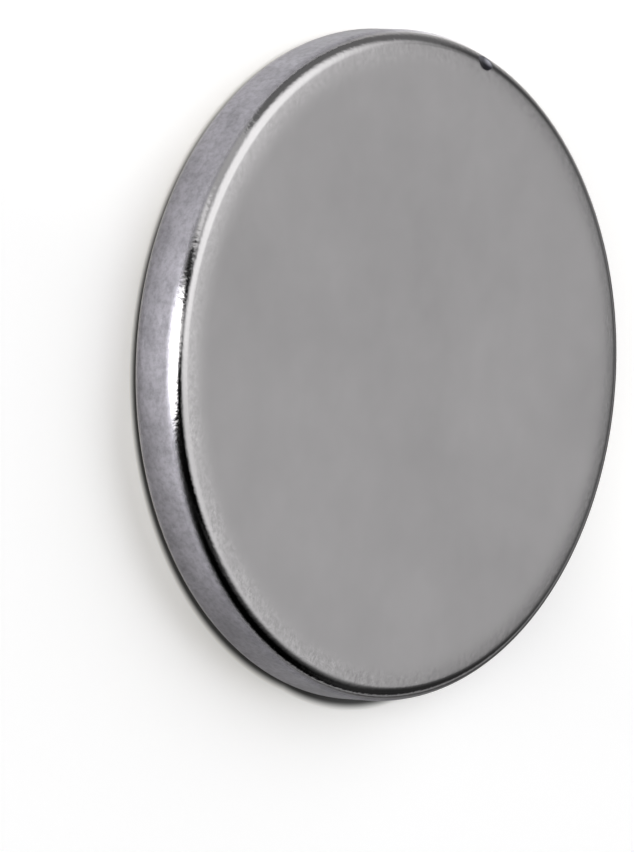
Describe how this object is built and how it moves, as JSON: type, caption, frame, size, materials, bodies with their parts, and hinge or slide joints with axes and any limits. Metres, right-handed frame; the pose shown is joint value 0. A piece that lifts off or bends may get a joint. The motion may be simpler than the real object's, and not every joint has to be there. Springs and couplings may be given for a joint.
{
  "type": "disc magnet",
  "caption": "Flat round nickel-plated magnet with a plain cylindrical rim, tumbled rounded edges and a small edge chip.",
  "frame": {"origin": "centre of the back face, which the magnet lies on", "axes": "+Z along the disc axis, out of the front face; the chipped place on the front edge is about 162 degrees round from +X"},
  "size_m": [0.02, 0.02, 0.002],
  "materials": {
    "nickel_plate": "tumbled bright nickel plate, satin on the faces and slightly mottled on the rim"
  },
  "bodies": {
    "root": {"magnet_disc": "nickel_plate"}
  },
  "joints": []
}
